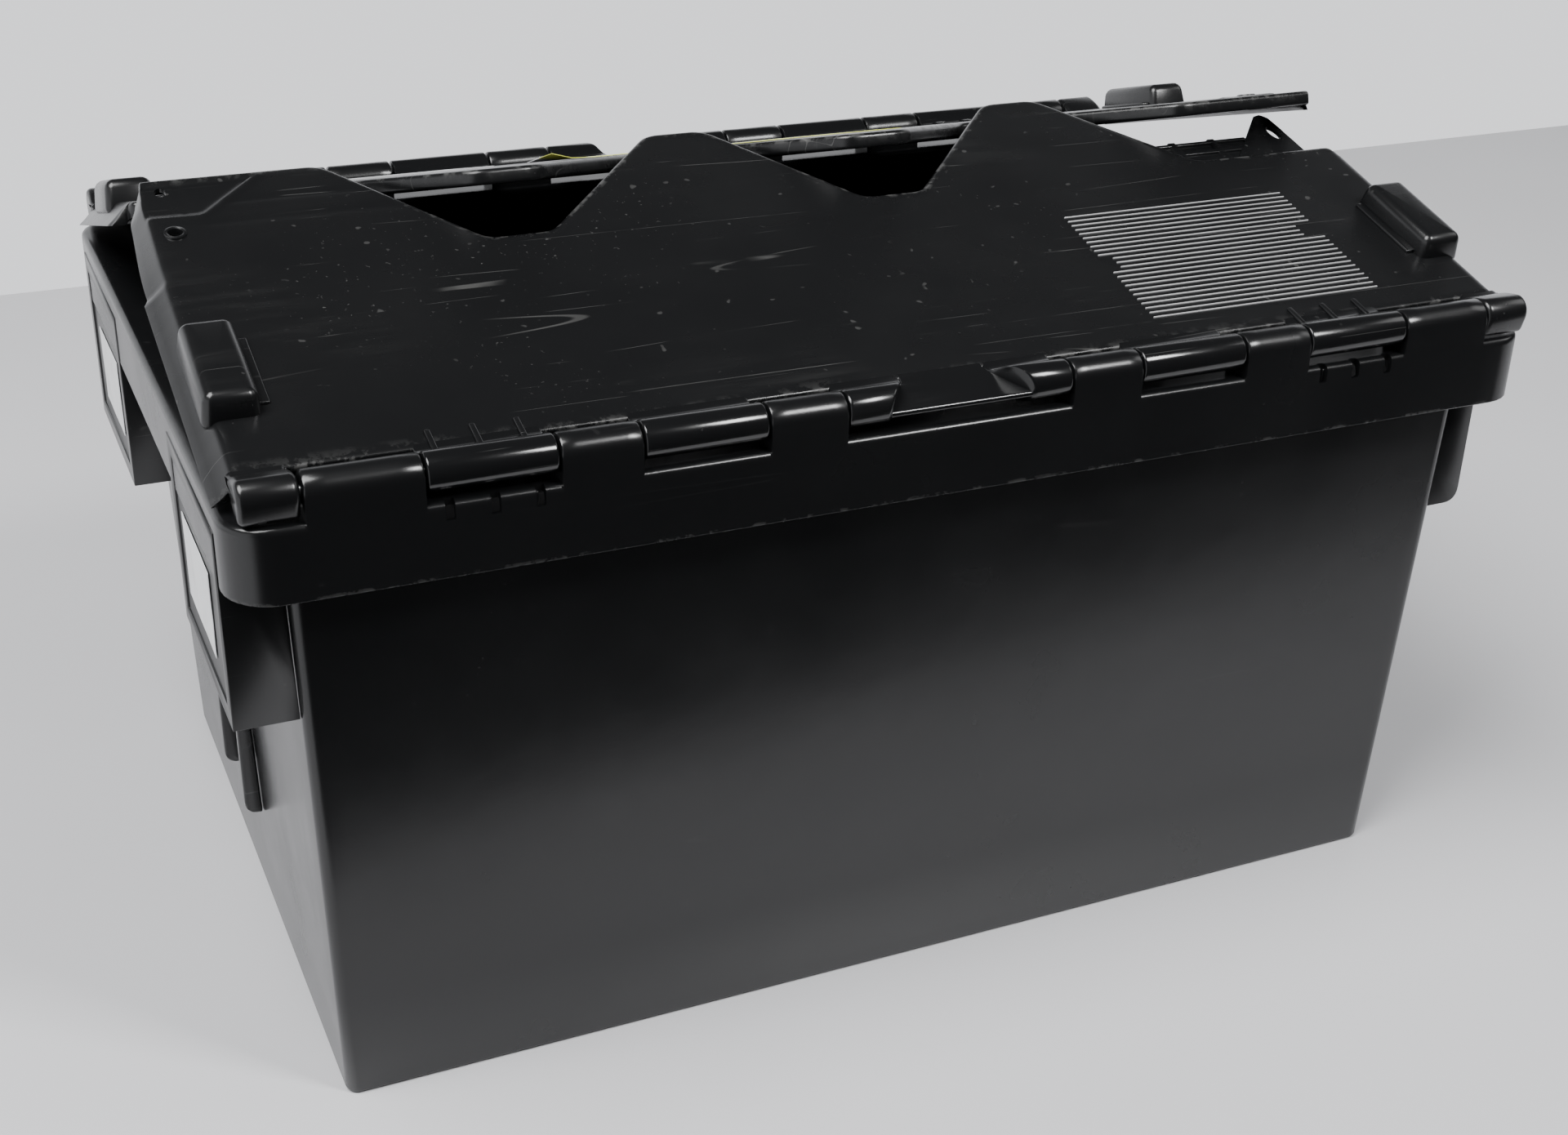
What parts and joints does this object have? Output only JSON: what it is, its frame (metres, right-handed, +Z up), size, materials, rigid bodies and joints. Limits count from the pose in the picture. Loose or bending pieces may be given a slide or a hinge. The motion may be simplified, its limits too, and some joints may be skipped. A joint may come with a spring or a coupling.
{
  "type": "attached lid tote",
  "caption": "Tapered plastic storage tote with a broad rim, end hand grips and two half lids hinged on the long sides that close with interlocking zigzag teeth.",
  "frame": {"origin": "centre of the base, on the surface that the tote stands on", "axes": "+X along the long side, +Y from the front rim to the back rim, +Z up"},
  "size_m": [0.612, 0.4, 0.3646],
  "materials": {
    "satin_polypropylene": "black recycled polypropylene, smooth satin, lightly scuffed",
    "gloss_polypropylene": "black polypropylene, semi-gloss, whitened scuffs on the edges",
    "lid_polypropylene": "black polypropylene, semi-gloss, scratched and a little dusty",
    "rod_steel": "drawn zinc-plated steel wire",
    "label_paper": "coated paper sticker, blank"
  },
  "bodies": {
    "container": {"tub_shell": "satin_polypropylene", "rim_front": "gloss_polypropylene", "rim_back": "gloss_polypropylene", "rim_left": "gloss_polypropylene", "rim_right": "gloss_polypropylene", "label_housing_left_front": "gloss_polypropylene", "label_housing_left_back": "gloss_polypropylene", "label_housing_right_front": "gloss_polypropylene", "label_housing_right_back": "gloss_polypropylene", "stacking_fin_left_front": "satin_polypropylene", "stacking_fin_left_back": "satin_polypropylene", "stacking_fin_right_front": "satin_polypropylene", "stacking_fin_right_back": "satin_polypropylene", "end_label_front": "label_paper", "end_label_back": "label_paper", "hinge_rod_front_left": "rod_steel", "hinge_rod_front_right": "rod_steel", "hinge_rod_back_left": "rod_steel", "hinge_rod_back_right": "rod_steel"},
    "front_lid": {"front_lid": "lid_polypropylene"},
    "back_lid": {"back_lid": "lid_polypropylene", "lid_label": "label_paper"}
  },
  "joints": [
    {"name": "front_lid_hinge", "type": "hinge", "parent": "container", "child": "front_lid", "pos_m": [0, -0.192, 0.3006], "axis": [1, 0, 0], "range_deg": [-15, 215]},
    {"name": "back_lid_hinge", "type": "hinge", "parent": "container", "child": "back_lid", "pos_m": [0, 0.192, 0.3006], "axis": [-1, 0, 0], "range_deg": [-16.5, 213.5]}
  ]
}
